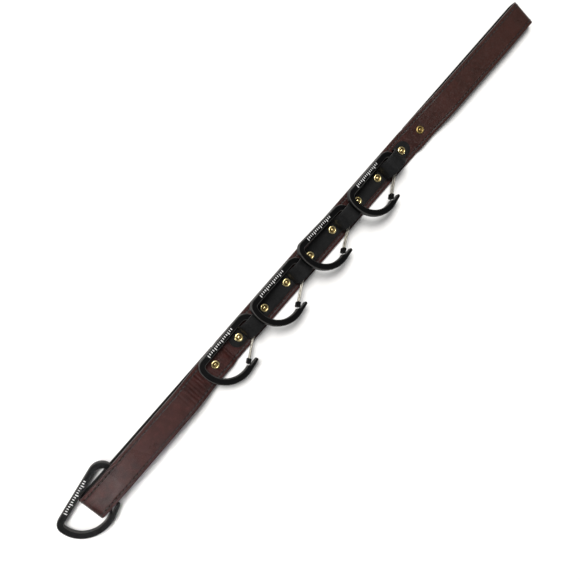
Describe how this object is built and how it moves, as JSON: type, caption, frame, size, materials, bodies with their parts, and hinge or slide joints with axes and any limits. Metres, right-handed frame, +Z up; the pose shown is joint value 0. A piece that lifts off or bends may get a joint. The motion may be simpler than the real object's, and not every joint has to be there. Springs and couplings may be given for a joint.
{
  "type": "leather gear strap",
  "caption": "Flat stitched leather strap with a loop at each end and a riveted keeper strip holding flat wire-gate carabiners for hanging small gear.",
  "frame": {"origin": "middle of the flat underside of the strap, halfway between the first and last rivet", "axes": "+X along the strap towards the plain hang loop, +Y across it towards the carabiners' straight sides, +Z up from the surface it lies on"},
  "size_m": [0.7948, 0.0644, 0.0308],
  "materials": {
    "oxblood_leather": "oiled, slightly glossy",
    "black_lining": "matte",
    "thread": "waxed thread",
    "keeper_leather": "smooth, satin",
    "brass": "polished",
    "black_plate": "matte black coating",
    "gate_wire": "satin",
    "black_tip": "matte"
  },
  "bodies": {
    "strap": {"strap_outer_ply": "oxblood_leather", "strap_lining_ply": "black_lining", "stitch_row_left": "thread", "stitch_row_right": "thread", "keeper_strip_1": "keeper_leather", "keeper_strip_2": "keeper_leather", "keeper_strip_3": "keeper_leather", "keeper_strip_4": "keeper_leather", "rivet_1": "brass", "rivet_2": "brass", "rivet_3": "brass", "rivet_4": "brass", "rivet_5": "brass", "rivet_6": "brass", "rivet_7": "brass", "rivet_8": "brass", "rivet_9": "brass", "rivet_10": "brass", "burr_1": "brass", "burr_2": "brass", "burr_3": "brass", "burr_4": "brass", "burr_5": "brass", "burr_6": "brass", "burr_7": "brass", "burr_8": "brass", "burr_9": "brass", "burr_10": "brass"},
    "carabiner_1": {"carabiner_body_1": "black_plate"},
    "gate_1": {"wire_gate_1": "gate_wire", "gate_tip_1": "black_tip"},
    "carabiner_2": {"carabiner_body_2": "black_plate"},
    "gate_2": {"wire_gate_2": "gate_wire", "gate_tip_2": "black_tip"},
    "carabiner_3": {"carabiner_body_3": "black_plate"},
    "gate_3": {"wire_gate_3": "gate_wire", "gate_tip_3": "black_tip"},
    "carabiner_4": {"carabiner_body_4": "black_plate"},
    "gate_4": {"wire_gate_4": "gate_wire", "gate_tip_4": "black_tip"},
    "carabiner_5": {"carabiner_body_5": "black_plate"},
    "gate_5": {"wire_gate_5": "gate_wire", "gate_tip_5": "black_tip"}
  },
  "joints": [
    {"name": "carabiner_1_swing", "type": "hinge", "parent": "strap", "child": "carabiner_1", "pos_m": [0.1315, 0, 0.0084], "axis": [0, 1, 0], "range_deg": [0, 30]},
    {"name": "gate_1_hinge", "type": "hinge", "parent": "carabiner_1", "child": "gate_1", "pos_m": [0.12411, -0.00753, 0.01022], "axis": [-0.2385, 0, -0.9711], "range_deg": [0, 12], "stiffness_Nm_per_rad": 0.05, "springref_deg": -5.73},
    {"name": "carabiner_2_swing", "type": "hinge", "parent": "strap", "child": "carabiner_2", "pos_m": [0.048, 0, 0.0084], "axis": [0, 1, 0], "range_deg": [0, 30]},
    {"name": "gate_2_hinge", "type": "hinge", "parent": "carabiner_2", "child": "gate_2", "pos_m": [0.04036, -0.00787, 0.01028], "axis": [-0.2385, 0, -0.9711], "range_deg": [0, 8], "stiffness_Nm_per_rad": 0.05, "springref_deg": -5.73},
    {"name": "carabiner_3_swing", "type": "hinge", "parent": "strap", "child": "carabiner_3", "pos_m": [-0.0328, 0, 0.0084], "axis": [0, 1, 0], "range_deg": [0, 30]},
    {"name": "gate_3_hinge", "type": "hinge", "parent": "carabiner_3", "child": "gate_3", "pos_m": [-0.04023, -0.00761, 0.01023], "axis": [-0.2385, 0, -0.9711], "range_deg": [0, 8], "stiffness_Nm_per_rad": 0.05, "springref_deg": -5.73},
    {"name": "carabiner_4_swing", "type": "hinge", "parent": "strap", "child": "carabiner_4", "pos_m": [-0.116, 0, 0.0084], "axis": [0, 1, 0], "range_deg": [0, 36]},
    {"name": "gate_4_hinge", "type": "hinge", "parent": "carabiner_4", "child": "gate_4", "pos_m": [-0.12336, -0.00711, 0.00904], "axis": [-0.0872, 0, -0.9962], "range_deg": [0, 7], "stiffness_Nm_per_rad": 0.05, "springref_deg": -5.73},
    {"name": "carabiner_5_slide", "type": "slide", "parent": "strap", "child": "carabiner_5", "axis": [0.9833, 0.1822, 0], "range_m": [0, 0.012]},
    {"name": "gate_5_hinge", "type": "hinge", "parent": "carabiner_5", "child": "gate_5", "pos_m": [-0.34123, 0.00634, 0.0074], "axis": [0, 0, -1], "range_deg": [0, 8], "stiffness_Nm_per_rad": 0.05, "springref_deg": -5.73}
  ]
}
